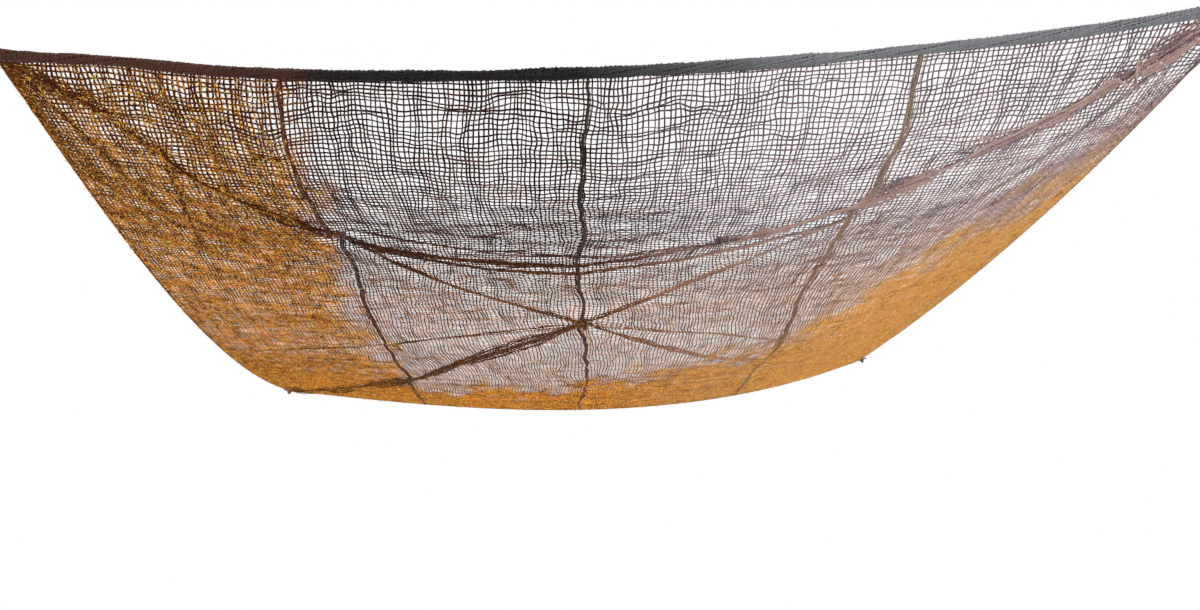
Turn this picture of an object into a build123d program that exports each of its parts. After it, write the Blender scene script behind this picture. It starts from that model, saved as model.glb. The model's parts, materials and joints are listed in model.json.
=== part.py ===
from build123d import *
import os
from math import exp, radians, tan

# A fishing net that hangs by its four corners: four sewn strips of open-weave netting with a roped
# head hem, thin selvedge lines, and a rope eye with a swinging ring at each corner.
#
# Millimetres. X runs along the head hem, Y from the head hem to the foot line, and Z is up. The net is
# drawn round the middle of its head hem and moved as it is written out, so that the centre of the near
# left ring is the origin. It hangs as it is used: its near right corner is held further forward and
# lower than the near left one, and its far corners are held higher.

# Netting: 3/8 inch meshes in strips 24 inches wide, sewn side by side
MESH = 9.525
STRIP_MESHES = 64
STRIPS = 4
NET_THICK = 4.0
STRIP_NAMES = ["left_outer", "left_inner", "right_inner", "right_outer"]
SEAM_NAMES = ["left", "middle", "right"]

# Where the corners are held, from a level line between the near ones
HEAD_HALF_WIDTH = STRIPS * STRIP_MESHES * MESH / 2 - 6.0
FOOT_HALF_WIDTH = 1175.0
LENGTH = 1950.0
NEAR_RIGHT_FORWARD = 250.0
NEAR_RIGHT_DROP = 75.0
FAR_LEFT_RISE = 30.0
FAR_RIGHT_RISE = 170.0

# How far each edge hangs below its corners, and how far the foot line is drawn in
HEAD_SAG = 107.0
FOOT_SAG = 184.0
FOOT_BOW = 87.0
SIDE_SAG = 74.0

# The foot line hangs lowest right of its middle, and the left side is slacker than the right one
FOOT_SKEW = 0.25
LEFT_SLACK = 44.0
RIGHT_SLACK = -21.0
SLACK_FALLOFF = 5

# The netting is bunched at the far corners, so the seams spread towards the foot line
SEAM_SPREAD = 0.072

# The belly below the edges, deepest at this share of the way from head to foot
BELLY = 121.0
BELLY_AT = 0.10

# Hem and lines
HEM_RADIUS = 12.0
HEM_BORE_RADIUS = 6.4
HEAD_ROPE_RADIUS = 6.0
SEAM_RADIUS = 4.0
CORD_RUNS = 12
LINE_RADIUS = 2.5
GAP = 0.5

# How far the foot line stops short of the far corners, where the rope eyes begin
FOOT_LINE_SHORT = 4.5

# Corner fitting at size 1
EYE_ROPE_RADIUS = 3.0
EYE_RADIUS = 13.0
THROAT = 12.0
THIMBLE_BORE_RADIUS = 8.0
THIMBLE_WALL = 1.8
FLANGE_RADIUS = 12.8
FLANGE_THICK = 1.0
FLANGE_GAP = 0.4
SEIZING_WALL = 1.6
SEIZING_LENGTH = 8.0
SEIZING_GAP = 0.1
RING_RADIUS = 14.0
RING_WIRE_RADIUS = 2.5
RING_PLAY = 1.3
NEAR_SIZE = 1.5
FAR_SIZE = 1.0

HEAD_START = (HEM_RADIUS + GAP) / LENGTH
FOOT_END = 1 - (LINE_RADIUS + GAP) / LENGTH

# Each strip is drawn in two lengths, which meet half way down it, so that its collision can follow its sag
HALF_WAY = 0.46
LENGTHS = {
    "front": (HEAD_START, HALF_WAY - GAP / 2 / LENGTH),
    "back": (HALF_WAY + GAP / 2 / LENGTH, FOOT_END),
}


def belly_shape(t):
    """Nothing at the head hem (t = 0) and the foot line (t = 1), and about 1 where the belly is deepest."""
    return t / BELLY_AT * exp(1 - t / BELLY_AT) - t / BELLY_AT * exp(1 - 1 / BELLY_AT)


def slack_shape(t):
    """Nothing at the head hem and the foot line, and 1 a little nearer the foot line than the middle."""
    return 4 * t**1.5 * (1 - t**1.5)


def edge_slack(to_right):
    """How much further the sheet sags where its sides are slack, from 0 on the left to 1 on the right."""
    return LEFT_SLACK * (1 - to_right) ** SLACK_FALLOFF + RIGHT_SLACK * to_right**SLACK_FALLOFF


def net_point(s, t):
    """A point of the hanging sheet: s goes from -1 to 1 across it, t from 0 to 1 from head to foot."""
    s *= 1 + SEAM_SPREAD * t * (1 - s * s)
    across = 1 - s * s
    to_right = (1 + s) / 2
    corner_height = -NEAR_RIGHT_DROP * to_right * (1 - t)
    corner_height += (FAR_LEFT_RISE + (FAR_RIGHT_RISE - FAR_LEFT_RISE) * to_right) * t
    edge_sag = across * (HEAD_SAG * (1 - t) + FOOT_SAG * (1 + FOOT_SKEW * s) * t)
    edge_sag += 4 * t * (1 - t) * SIDE_SAG + slack_shape(t) * edge_slack(to_right)
    return Vector(
        s * (HEAD_HALF_WIDTH * (1 - t) + FOOT_HALF_WIDTH * t),
        t * (LENGTH - FOOT_BOW * across) - NEAR_RIGHT_FORWARD * to_right * (1 - t),
        corner_height - edge_sag - BELLY * across * belly_shape(t),
    )


def seam_place(number):
    """Where seam or edge 0 to STRIPS lies, from -1 to 1 across the net."""
    return -1 + 2 * number / STRIPS


def tube(path, radius, bore_radius=0):
    section = Circle(radius)
    if bore_radius:
        section -= Circle(bore_radius)
    return sweep(Plane(origin=path @ 0, z_dir=path % 0) * section, path=path)


def rounded_route(points):
    """Straight runs joined by tangent arcs, each as large as its two runs allow."""
    radii = []
    for before, here, after in zip(points, points[1:], points[2:]):
        half_turn = radians((here - before).get_angle(after - here)) / 2
        shorter_run = min((here - before).length, (after - here).length)
        radii.append(0.45 * shorter_run / tan(half_turn))
    print("arc radii:", [round(radius) for radius in radii])
    return FilletPolyline(*points, radius=radii)


def strip(number, start, end):
    """A length of one strip of netting, which stops just short of its seams, hem and lines."""
    edge_gap, seam_gap = LINE_RADIUS + GAP, GAP
    left = seam_place(number) + (seam_gap if number else edge_gap) / HEAD_HALF_WIDTH
    right = seam_place(number + 1) - (edge_gap if number == STRIPS - 1 else seam_gap) / HEAD_HALF_WIDTH
    columns, rows = 6, 10
    down = [start + (end - start) * j / rows for j in range(rows + 1)]
    grid = []
    for i in range(columns + 1):
        s = left + (right - left) * i / columns
        grid.append([net_point(s, t) for t in down])
    return thicken(Face.make_surface_from_array_of_points(grid), amount=NET_THICK / 2, both=True)


def down_path(s, end):
    """A cord's route down the sheet, from the head hem to that share of the way to the foot line."""
    steps = [HEAD_START + (end - HEAD_START) * i / CORD_RUNS for i in range(CORD_RUNS + 1)]
    return rounded_route([net_point(s, t) for t in steps])


def seam_cord(number):
    """The lacing cord that joins two strips, from the head hem to the foot line."""
    return tube(down_path(seam_place(number), FOOT_END), SEAM_RADIUS)


def head_path():
    return ThreePointArc(net_point(-1, 0), net_point(0, 0), net_point(1, 0))


def foot_path():
    reach = 1 - FOOT_LINE_SHORT / FOOT_HALF_WIDTH
    return rounded_route([net_point(reach * (2 * i / CORD_RUNS - 1), 1) for i in range(CORD_RUNS + 1)])


def side_path(side):
    """The selvedge down one side of the net, -1 or 1, from the hem to just short of the foot line."""
    return down_path(side, 1 - (2 * LINE_RADIUS + GAP) / LENGTH)


def corner_fitting(corner, outward, size):
    """The rope eye, thimble, seizing and ring of one corner, by name.
    They are drawn with X pointing away from the net and Z along the eye's own axis, which is level."""
    rope = EYE_ROPE_RADIUS * size
    eye_radius = EYE_RADIUS * size
    eye_at = Pos(THROAT * size + eye_radius, 0, 0)
    along_x = Rot(0, 90, 0)

    neck = along_x * Cylinder(rope, THROAT * size, align=(Align.CENTER, Align.CENTER, Align.MIN))
    eye = eye_at * Torus(eye_radius, rope) + neck

    bore = THIMBLE_BORE_RADIUS * size
    groove_width = 2 * (rope + FLANGE_GAP)
    width = groove_width + 2 * FLANGE_THICK * size
    groove = Cylinder(FLANGE_RADIUS * size + 1, groove_width)
    groove -= Cylinder(bore + THIMBLE_WALL * size, groove_width)
    thimble = Cylinder(FLANGE_RADIUS * size, width) - groove - Cylinder(bore, width)

    inside = rope + SEIZING_GAP
    length = SEIZING_LENGTH * size
    seizing = Cylinder(inside + SEIZING_WALL * size, length) - Cylinder(inside, length)
    seizing = Pos((THROAT * size - rope) / 2, 0, 0) * along_x * seizing

    ring_radius = RING_RADIUS * size
    ring_at = Pos(swing_reach(size) + ring_radius, 0, 0) * Rot(90, 0, 0)
    ring = ring_at * Torus(ring_radius, RING_WIRE_RADIUS * size)

    frame = corner_frame(corner, outward)
    pieces = {"rope_eye": eye, "thimble": eye_at * thimble, "seizing": seizing, "ring": ring}
    return {name: frame * piece for name, piece in pieces.items()}


def swing_reach(size):
    """How far beyond the corner the ring's wire crosses the thimble, where it swings."""
    return (THROAT + EYE_RADIUS + THIMBLE_BORE_RADIUS - RING_WIRE_RADIUS - RING_PLAY) * size


def corner_frame(corner, outward):
    return Plane(origin=corner, x_dir=outward, z_dir=Vector(0, 0, 1).cross(outward))


def net_pieces():
    """Every piece by its node name."""
    pieces = {
        "head_hem": tube(head_path(), HEM_RADIUS, HEM_BORE_RADIUS),
        "head_rope": tube(head_path(), HEAD_ROPE_RADIUS),
        "foot_line": tube(foot_path(), LINE_RADIUS),
        "side_line_left": tube(side_path(-1), LINE_RADIUS),
        "side_line_right": tube(side_path(1), LINE_RADIUS),
    }
    for number, name in enumerate(STRIP_NAMES):
        for part, (start, end) in LENGTHS.items():
            pieces[f"netting_{name}_{part}"] = strip(number, start, end)
    for number, name in enumerate(SEAM_NAMES, start=1):
        pieces["seam_cord_" + name] = seam_cord(number)
    for name, (corner, outward, size) in CORNERS.items():
        for kind, piece in corner_fitting(corner, outward, size).items():
            pieces[kind + "_" + name] = piece
    return pieces


# Each eye is pulled in line with the lines that end there: the head rope, or a side line and the foot line
CORNERS = {
    "near_left": (net_point(-1, 0), -(head_path() % 0), NEAR_SIZE),
    "near_right": (net_point(1, 0), head_path() % 1, NEAR_SIZE),
    "far_left": (net_point(-1, 1), (side_path(-1) % 1 - foot_path() % 0).normalized(), FAR_SIZE),
    "far_right": (net_point(1, 1), (side_path(1) % 1 + foot_path() % 1).normalized(), FAR_SIZE),
}

near_corner, near_outward, near_size = CORNERS["near_left"]
origin = near_corner + near_outward * (swing_reach(near_size) + RING_RADIUS * near_size)
os.makedirs("parts", exist_ok=True)
for name, piece in net_pieces().items():
    export_step(Pos(-origin) * piece, f"parts/{name}.step")

for name, (corner, outward, size) in CORNERS.items():
    swing = corner + outward * swing_reach(size) - origin
    centre = swing + outward * (RING_RADIUS * size)
    axis = corner_frame(corner, outward).z_dir
    print(name, "swing", tuple(swing), "axis", tuple(axis), end=" ")
    print("centre", tuple(centre), "outward", tuple(outward))
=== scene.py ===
"""Looks of the hanging fishing net: real woven yarns, a rolled and roped hem, laced seams, twisted selvedge
lines and roped corner eyes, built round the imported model. Metres."""
import json
from math import pi, radians

import bpy
import numpy as np
from mathutils import Matrix, Vector
from mathutils.kdtree import KDTree


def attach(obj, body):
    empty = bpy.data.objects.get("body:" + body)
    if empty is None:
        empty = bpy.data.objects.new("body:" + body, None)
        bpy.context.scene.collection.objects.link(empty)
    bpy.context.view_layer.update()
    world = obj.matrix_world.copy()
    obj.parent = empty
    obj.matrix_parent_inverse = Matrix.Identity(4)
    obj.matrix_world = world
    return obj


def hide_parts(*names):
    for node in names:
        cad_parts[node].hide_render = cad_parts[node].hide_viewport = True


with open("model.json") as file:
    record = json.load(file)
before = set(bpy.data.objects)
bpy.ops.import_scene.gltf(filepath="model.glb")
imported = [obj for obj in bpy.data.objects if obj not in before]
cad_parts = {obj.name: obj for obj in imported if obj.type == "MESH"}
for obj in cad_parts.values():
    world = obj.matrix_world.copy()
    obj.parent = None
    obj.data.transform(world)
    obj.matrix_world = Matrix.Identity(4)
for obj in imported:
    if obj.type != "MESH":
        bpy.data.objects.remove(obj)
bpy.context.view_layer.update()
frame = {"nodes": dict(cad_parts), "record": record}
rng = np.random.default_rng(7)

# Netting, as it is cut: strips of meshes, sewn side by side. The yarns' crimp is a share of their radius.
STRIP_MESHES = 64
STRIPS = 4
ROWS = 216
COLUMNS = STRIPS * STRIP_MESHES
STRIP_NAMES = ["left_outer", "left_inner", "right_inner", "right_outer"]
SEAM_NAMES = ["left", "middle", "right"]
WARP_RADIUS = 0.00150
WEFT_RADIUS = 0.00144
YARN_SIDES = 5
CRIMP = 0.6

# How much thinner the weft is away from the hem, as a share, where the netting isn't ochre
WEFT_THINNING = 0.46

# How the sheet hangs between its four corners
HEAD_SAG = 0.107
FOOT_SAG = 0.184
FOOT_BOW = 0.087
SIDE_SAG = 0.074
FOOT_SKEW = 0.25
LEFT_SLACK = 0.044
RIGHT_SLACK = -0.021
SEAM_SPREAD = 0.072
BELLY = 0.121
BELLY_AT = 0.10

# Where the hem is pulled up, or hangs slack: how far up, the middle of the place, and its width
HEM_PULLS = ((0.011, -0.79, 0.13), (-0.004, 0.74, 0.16))

# From a ring's centre back to the corner of the netting
NEAR_REACH = 0.0648
FAR_REACH = 0.0432

# The corner fittings: name, reach and size
CORNER_FITTINGS = (
    ("near_left", NEAR_REACH, 1.5),
    ("near_right", NEAR_REACH, 1.5),
    ("far_left", FAR_REACH, 1.0),
    ("far_right", FAR_REACH, 1.0),
)

# A corner fitting at size 1
EYE_ROPE_RADIUS = 0.003
EYE_RADIUS = 0.013
THROAT = 0.012
SEIZING_WALL = 0.0016
SEIZING_LENGTH = 0.008


def corner_of(name, reach):
    """A corner of the netting, and the direction its fitting points in, from its ring's mount."""
    mount = next(m for m in frame["record"]["mounts"] if m["name"] == name + "_ring")
    outward = np.array(mount["axis"])
    return np.array(mount["pos_m"]) - reach * outward, outward


NEAR_LEFT, NEAR_RIGHT, FAR_LEFT, FAR_RIGHT = [corner_of(name, reach)[0] for name, reach, _ in CORNER_FITTINGS]
MIDDLE = (NEAR_LEFT[0] + NEAR_RIGHT[0]) / 2


# ---------------- the hanging sheet

def smooth_sheet(s, t):
    """Points of the sheet without creases: s is -1 to 1 across, t is 0 to 1 from hem to foot."""
    s, t = np.broadcast_arrays(np.asarray(s, float), np.asarray(t, float))
    s = s * (1 + SEAM_SPREAD * t * (1 - s * s))
    across = 1 - s * s
    right, left = (1 + s) / 2, (1 - s) / 2
    near = left[..., None] * NEAR_LEFT + right[..., None] * NEAR_RIGHT
    far = left[..., None] * FAR_LEFT + right[..., None] * FAR_RIGHT
    points = near * (1 - t)[..., None] + far * t[..., None]
    belly = t / BELLY_AT * np.exp(1 - t / BELLY_AT) - t / BELLY_AT * np.exp(1 - 1 / BELLY_AT)
    slack = 4 * t ** 1.5 * (1 - t ** 1.5) * (LEFT_SLACK * left ** 5 + RIGHT_SLACK * right ** 5)
    points[..., 1] -= FOOT_BOW * t * across
    points[..., 2] -= across * (HEAD_SAG * (1 - t) + FOOT_SAG * (1 + FOOT_SKEW * s) * t)
    points[..., 2] -= 4 * t * (1 - t) * SIDE_SAG + slack + BELLY * across * belly
    pull = sum(height * np.exp(-((s - place) / width) ** 2) for height, place, width in HEM_PULLS)
    points[..., 2] += pull * (1 - t) ** 6
    return points


def run_along(line):
    """How far along a line each of its points is."""
    return np.concatenate([[0], np.cumsum(np.linalg.norm(np.diff(line, axis=0), axis=1))])


def rows_to_t(s, rows):
    """Where rows of meshes lie down the sheet, so that the rows are evenly spaced along the cloth."""
    steps = np.linspace(0, 1, 500)
    run = run_along(smooth_sheet(s, steps))
    return np.interp(rows / ROWS, run / run[-1], steps)


def patchy(shape, cells, seed):
    """Smooth random values about 0 on a grid of that shape, in patches of about cells = (columns, rows)."""
    draw = np.random.default_rng(seed)
    n = [int(np.ceil(shape[i] / cells[i])) + 3 for i in (0, 1)]
    coarse = draw.normal(0, 1, n)
    for axis in (0, 1):
        at = np.arange(shape[axis]) / cells[axis] + 0.5
        low = at.astype(int)
        part = at - low
        part = part * part * (3 - 2 * part)
        part = part[:, None] if axis == 0 else part[None, :]
        coarse = np.take(coarse, low, axis) * (1 - part) + np.take(coarse, low + 1, axis) * part
    return coarse


def wavy(count, cell, draw):
    """Smooth random values about 0 along a line of that many points, seeded by the next draw."""
    return patchy((1, count), (1, cell), int(draw.integers(1e6)))[0]


# Where the sewn seams stray sideways: the share down the sheet, then the left, middle and right seam
SEAM_DRIFT = np.array([
    (0.00, 0.000, -0.006, 0.010),
    (0.12, 0.000, -0.014, -0.002),
    (0.27, 0.020, -0.014, -0.015),
    (0.48, 0.008, -0.002, 0.002),
    (0.60, 0.002, 0.005, 0.022),
    (0.77, 0.012, 0.012, -0.006),
    (1.00, 0.000, 0.000, 0.000),
])

# Creases: a line in (s, t), how far it hangs below the sheet, how wide it draws the netting in, how much it
# packs it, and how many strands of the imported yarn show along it
CREASES = [
    ([(-1.0, 0.0), (-0.83, 0.06), (-0.69, 0.135), (-0.57, 0.18), (-0.47, 0.22)], 0.005, 0.045, 0.66, 13),
    ([(-0.47, 0.22), (-0.33, 0.25), (-0.2, 0.268), (0.0, 0.278), (0.25, 0.228)], 0.003, 0.040, 0.62, 9),
    ([(0.25, 0.228), (0.47, 0.172), (0.63, 0.12), (0.8, 0.08), (1.0, 0.0)], 0.005, 0.060, 0.72, 22),
    ([(-0.47, 0.235), (-0.2, 0.292), (0.0, 0.305), (0.3, 0.25), (0.5, 0.20)], 0.003, 0.025, 0.50, 6),
    ([(-0.44, 0.19), (-0.2, 0.236), (0.05, 0.25), (0.2, 0.222)], 0.003, 0.025, 0.35, 2),
    ([(-0.47, 0.215), (-0.28, 0.347), (0.0, 0.479)], 0.004, 0.034, 0.60, 5),
    ([(0.0, 0.479), (0.12, 0.407), (0.24, 0.333), (0.48, 0.20)], 0.004, 0.030, 0.60, 5),
    ([(0.0, 0.479), (-0.35, 0.546), (-0.5, 0.588), (-0.93, 0.655)], 0.003, 0.024, 0.60, 3),
    ([(0.0, 0.479), (-0.32, 0.66), (-0.45, 0.755), (-0.9, 0.945), (-1.0, 1.0)], 0.004, 0.055, 0.68, 22),
    ([(0.0, 0.479), (0.33, 0.558), (0.55, 0.64), (0.96, 0.735)], 0.003, 0.024, 0.55, 3),
    ([(0.0, 0.479), (0.31, 0.656), (0.5, 0.735), (1.0, 1.0)], 0.003, 0.034, 0.62, 8),
    ([(-0.745, 0.09), (-0.775, 0.2), (-0.806, 0.305)], 0.003, 0.030, 0.62, 8),
    ([(-1.0, 0.0), (-0.9, 0.10), (-0.84, 0.22)], 0.003, 0.035, 0.50, 3),
    ([(1.0, 0.0), (0.86, 0.055), (0.74, 0.085), (0.6, 0.09)], 0.003, 0.030, 0.45, 3),
    ([(1.0, 0.0), (0.88, 0.10), (0.74, 0.22)], 0.003, 0.035, 0.45, 2),
    ([(-1.0, 1.0), (-0.72, 0.90), (-0.5, 0.80)], 0.003, 0.030, 0.45, 3),
]

# Gathers at each corner (s, t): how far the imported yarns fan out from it, and how many groups there are
GATHERS = {(-1, 0): (0.26, 11), (1, 0): (0.20, 9), (-1, 1): (0.30, 13), (1, 1): (0.16, 9)}
GATHER_STRANDS = 3
GATHER_RADIUS = 0.0013
GATHER_STEPS = 40

# The far left corner's crumple: its middle in (s, t), and its loops' scatter, size, number and points
CRUMPLE_AT = (-0.94, 0.962)
CRUMPLE_SCATTER = (0.012, 0.008)
CRUMPLE_SIZE = (0.026, 0.018)
CRUMPLE_LOOPS = 18
CRUMPLE_STEPS = 70

# About how many metres one unit of s and of t measures on the sheet
PLAN = np.array([1.2, 1.95])


def seam_drift(s, t):
    """How far the sewing has strayed sideways there, fading out between one seam and the next."""
    drift = 0
    for seam, place in enumerate((-0.5, 0.0, 0.5), start=1):
        fade = np.clip(1 - 2 * abs(s - place), 0, 1)
        drift = drift + np.interp(t, SEAM_DRIFT[:, 0], SEAM_DRIFT[:, seam]) * fade
    return drift


def to_line(plan, line):
    """For points in plan, the vector to the nearest point of a line."""
    best = np.full(plan.shape[:-1], np.inf)
    offset = np.zeros(plan.shape)
    for a, b in zip(line, line[1:]):
        part = np.clip(((plan - a) @ (b - a)) / ((b - a) @ (b - a)), 0, 1)
        vector = a + part[..., None] * (b - a) - plan
        distance = np.linalg.norm(vector, axis=-1)
        closer = distance < best
        best[closer] = distance[closer]
        offset[closer] = vector[closer]
    return offset


def unit(vectors):
    return vectors / np.linalg.norm(vectors, axis=-1, keepdims=True)


def turned_out(points):
    """The normals of a grid of points."""
    return unit(np.cross(np.gradient(points, axis=0), np.gradient(points, axis=1)))


def hang(columns, rows):
    """Where those columns and rows of meshes cross in the hanging sheet, its normals there, and s and t."""
    s = -1 + 2 * columns / COLUMNS
    grid_s = np.repeat(s[:, None], len(rows), axis=1)
    grid_t = np.stack([rows_to_t(value, rows) for value in s])
    grid_s = grid_s + seam_drift(grid_s, grid_t)
    shape = grid_s.shape

    # uneven weaving: yarns wander in the sheet, alone and with their neighbours, but not at its edges
    fade = np.clip(np.minimum(grid_t, 1 - grid_t) * 60, 0, 1)
    side_fade = np.clip((1 - abs(grid_s)) * 30, 0, 1)
    hold = np.minimum(fade, side_fade)
    sway = 0.20 * patchy(shape, (2.5, 8), 1) + 0.20 * patchy(shape, (1, 3), 2)
    sway += 0.11 * patchy(shape, (1, 1), 10)
    sway += 0.40 * patchy(shape, (9, 11), 3) + 0.7 * patchy(shape, (32, 28), 13)
    slip = 0.20 * patchy(shape, (8, 2.5), 4) + 0.20 * patchy(shape, (3, 1), 5)
    slip += 0.11 * patchy(shape, (1, 1), 11)
    slip += 0.40 * patchy(shape, (11, 9), 6) + 0.6 * patchy(shape, (30, 30), 14)
    slip *= np.clip(1.25 - 1.5 * grid_t, 0.4, 1)
    grid_s = grid_s + 2 / COLUMNS * sway * side_fade
    grid_t = grid_t + 1 / ROWS * slip * fade

    plan = np.stack([grid_s, grid_t], -1) * PLAN
    stray = 0.006 * np.stack([patchy(shape, (16, 12), 21), patchy(shape, (12, 16), 22)], -1)
    lift = np.zeros(shape)
    moved = np.zeros(plan.shape)
    for line, drop, width, packing, _ in CREASES:
        offset = to_line(plan + stray, np.array(line) * PLAN)
        distance = np.linalg.norm(offset, axis=-1)
        lift -= drop * np.exp(-(distance / (0.35 * width)) ** 2)
        moved += (packing * np.exp(-(distance / width) ** 2))[..., None] * offset
    grid_s = grid_s + moved[..., 0] * hold / PLAN[0]
    grid_t = grid_t + moved[..., 1] * hold / PLAN[1]

    calm = np.clip(1.25 - 2.2 * grid_t, 0.35, 1)
    lift += calm * (0.0025 * patchy(shape, (24, 20), 8) + 0.0011 * patchy(shape, (7, 6), 9))
    lift += calm * 0.0005 * patchy(shape, (2, 2), 12)
    points = smooth_sheet(grid_s, grid_t)
    points += turned_out(points) * (lift * hold)[..., None]
    return points, turned_out(points), grid_s, grid_t


# ---------------- mesh building

def outward_at(angle, sideways, upward):
    """The direction at each angle round a line."""
    return np.cos(angle)[:, None] * sideways + np.sin(angle)[:, None] * upward


def tubes(lines, normals, radii, sides):
    """Closed tubes round many lines with the same number of points: vertices, faces and, for each vertex, how
    far along and around it is and how far to the side, which the netting uses to paint its yarns' glow and
    shade. Normals turn each tube's rings with the sheet."""
    count, steps = lines.shape[:2]
    tangents = unit(np.gradient(lines, axis=1))
    sideways = unit(np.cross(tangents, normals))
    upward = np.cross(sideways, tangents)
    angle = 2 * pi * np.arange(sides) / sides - pi / 2
    ring = outward_at(angle, sideways[:, :, None], upward[:, :, None])
    vertices = lines[:, :, None] + radii[:, :, None, None] * ring
    index = np.arange(count * steps * sides).reshape(count, steps, sides)
    a, b = index[:, :-1], index[:, 1:]
    quads = np.stack([a, np.roll(a, -1, 2), np.roll(b, -1, 2), b], -1).reshape(-1, 4)
    caps = np.concatenate([index[:, 0, ::-1], index[:, -1]])
    step_lengths = np.linalg.norm(np.diff(lines, axis=1), axis=-1)
    run = np.concatenate([np.zeros((count, 1)), np.cumsum(step_lengths, axis=1)], 1)
    along = np.repeat(run[:, :, None], sides, 2)
    around = np.broadcast_to(np.arange(sides) / sides, along.shape)
    # How far each vertex faces along the sheet rather than out of it: the netting's material paints a glow
    # where this is high and shade where it is low.
    painted_glow_weight = np.broadcast_to(abs(np.cos(angle)), along.shape)
    return vertices.reshape(-1, 3), [quads, caps], np.stack([along, around, painted_glow_weight], -1).reshape(-1, 3)


class Pile:
    """Gathers tubes and hairs into one mesh."""

    def __init__(self):
        self.vertices, self.faces, self.twist, self.values, self.total = [], [], [], {}, 0

    def add(self, part, **values):
        """Adds a part, with values for all of its vertices, or for each of its rings or hairs."""
        vertices, faces, twist = part
        self.vertices.append(vertices)
        self.faces += [f + self.total for f in faces]
        self.twist.append(twist)
        for name, value in values.items():
            self.values.setdefault(name, []).append(np.repeat(value, len(vertices) // np.size(value)))
        self.total += len(vertices)

    def build(self, name, material):
        mesh = bpy.data.meshes.new(name)
        vertices = np.concatenate(self.vertices)
        loops = np.concatenate([f.reshape(-1) for f in self.faces])
        sizes = np.concatenate([np.full(len(f), f.shape[1]) for f in self.faces])
        mesh.vertices.add(len(vertices))
        mesh.vertices.foreach_set("co", vertices.astype(np.float32).ravel())
        mesh.loops.add(len(loops))
        mesh.loops.foreach_set("vertex_index", loops.astype(np.int32))
        mesh.polygons.add(len(sizes))
        mesh.polygons.foreach_set("loop_start", (np.cumsum(sizes) - sizes).astype(np.int32))
        mesh.update(calc_edges=True)
        mesh.validate()
        mesh.polygons.foreach_set("use_smooth", np.ones(len(mesh.polygons), bool))
        layers = {key: np.concatenate(values) for key, values in self.values.items()}
        layers.update(zip(("run", "turn", "painted_glow_weight"), np.concatenate(self.twist).T))
        for key, values in layers.items():
            layer = mesh.attributes.new(key, "FLOAT", "POINT")
            layer.data.foreach_set("value", values.astype(np.float32))
        piece = bpy.data.objects.new(name, mesh)
        bpy.context.scene.collection.objects.link(piece)
        mesh.materials.append(material)
        return piece


# Vertices of one stray fibre, and sides of one strand of a rope
HAIR_VERTICES = 7
ROPE_SIDES = 6

# How cords are laid: the strands' distance from the middle, radius, number and pitch, and the step along
SEAM_LAY = (0.0020, 0.0019, 3, 0.021, 0.0024)
LINE_LAY = (0.0013, 0.0014, 2, 0.009, 0.0016)
HEAD_ROPE_LAY = (0.0029, 0.0027, 3, 0.036, 0.006)


def hairs(roots, directions, lengths, radius):
    """Stray fibres: thin three-sided spikes with a bend in the middle."""
    count = len(roots)
    side = unit(np.cross(directions, rng.normal(0, 1, (count, 3))))
    other = np.cross(directions, side)
    bend = side * rng.uniform(-0.5, 0.5, (count, 1)) + other * rng.uniform(-0.5, 0.5, (count, 1))
    middle = roots + (directions + 0.3 * bend) * lengths[:, None] * 0.5
    tip = roots + (directions + bend) * lengths[:, None]
    angle = 2 * pi * np.arange(3) / 3
    ring = outward_at(angle, side[:, None], other[:, None])
    base, waist = roots[:, None] + radius * ring, middle[:, None] + 0.8 * radius * ring
    vertices = np.concatenate([base, waist, tip[:, None]], 1)
    index = np.arange(count * HAIR_VERTICES).reshape(count, HAIR_VERTICES)
    low, high = index[:, 0:3], index[:, 3:6]
    quads = np.stack([low, np.roll(low, -1, 1), np.roll(high, -1, 1), high], -1).reshape(-1, 4)
    tips = np.stack([high, np.roll(high, -1, 1), np.repeat(index[:, 6:7], 3, 1)], -1).reshape(-1, 3)
    return vertices.reshape(-1, 3), [quads, tips, low[:, ::-1]], np.full((count * HAIR_VERTICES, 3), 0.5)


# ---------------- materials

def linear(red, green, blue):
    """A colour given as on a screen, 0 to 255."""
    channels = [c / 255 / 12.92 if c < 11 else ((c / 255 + 0.055) / 1.055) ** 2.4 for c in (red, green, blue)]
    return (*channels, 1)


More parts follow.
